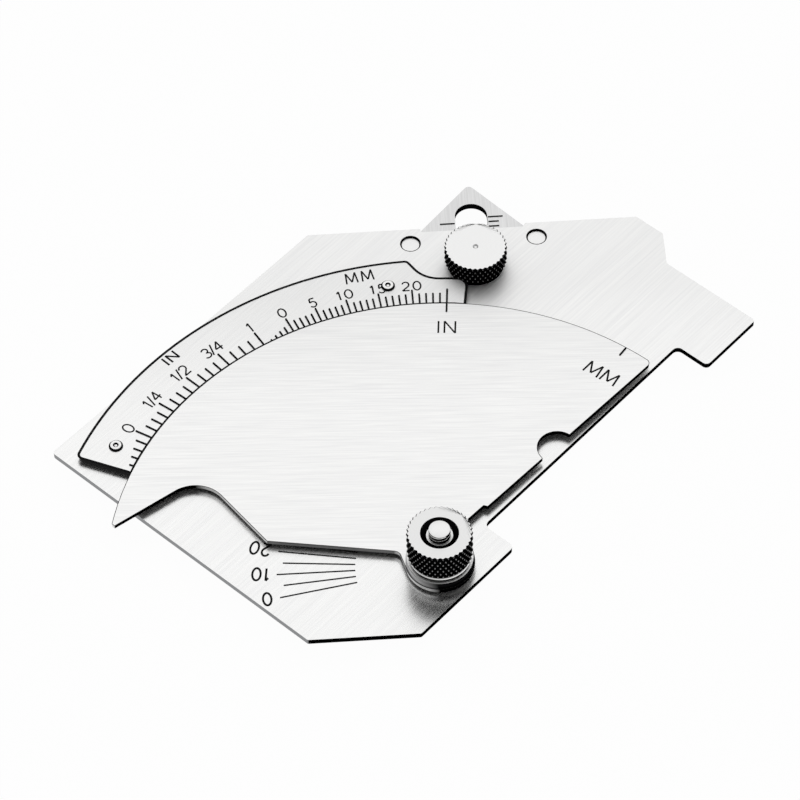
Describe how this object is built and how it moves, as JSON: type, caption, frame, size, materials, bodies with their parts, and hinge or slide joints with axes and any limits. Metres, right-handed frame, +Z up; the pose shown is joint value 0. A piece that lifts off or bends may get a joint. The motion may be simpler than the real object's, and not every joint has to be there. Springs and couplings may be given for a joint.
{
  "type": "weld gauge",
  "caption": "Flat bridge weld gauge with a turning hooked cam, a raised arc scale and a diagonal throat slide locked by knurled thumb nuts, for weld height, depth and throat.",
  "frame": {"origin": "middle of the whole gauge in plan, level with its lowest point, the head of the slide stud behind the plate", "axes": "+X along the two feet towards the throat tab, +Y away from the feet, +Z up out of the plate through the cam; the gauge lies on its back"},
  "size_m": [0.0996, 0.065, 0.0126],
  "materials": {
    "brushed_plate": "fine straight-brushed stainless steel",
    "satin_scale": "satin stainless steel with black filled graduations",
    "turned_steel": "turned stainless steel",
    "knurled_nut": "turned stainless steel with a diamond knurl"
  },
  "bodies": {
    "frame": {"base_plate": "brushed_plate", "arc_scale_plate": "satin_scale", "arc_rivet_left": "turned_steel", "arc_rivet_right": "turned_steel", "guide_pin_upper": "turned_steel", "guide_pin_lower": "turned_steel", "pivot_stud": "turned_steel", "spacer": "turned_steel", "pivot_washer": "turned_steel", "spring_washer": "turned_steel", "slide_stud": "turned_steel"},
    "cam": {"cam": "satin_scale"},
    "slide": {"slide": "brushed_plate"},
    "pivot_nut": {"pivot_nut": "knurled_nut"},
    "slide_nut": {"slide_nut": "knurled_nut"}
  },
  "joints": [
    {"name": "cam_turn", "type": "hinge", "parent": "frame", "child": "cam", "pos_m": [-0.0226, -0.02655, 0.00395], "axis": [0, 0, 1], "continuous": true},
    {"name": "slide_travel", "type": "slide", "parent": "frame", "child": "slide", "axis": [0.7071, 0.7071, 0], "range_m": [-0.0109, 0.01705]},
    {"name": "pivot_nut_turn", "type": "hinge", "parent": "frame", "child": "pivot_nut", "pos_m": [-0.0226, -0.02655, 0.00855], "axis": [0, 0, 1], "continuous": true},
    {"name": "slide_nut_turn", "type": "hinge", "parent": "frame", "child": "slide_nut", "pos_m": [0.02551, 0.00826, 0.00505], "axis": [0, 0, 1], "continuous": true}
  ]
}
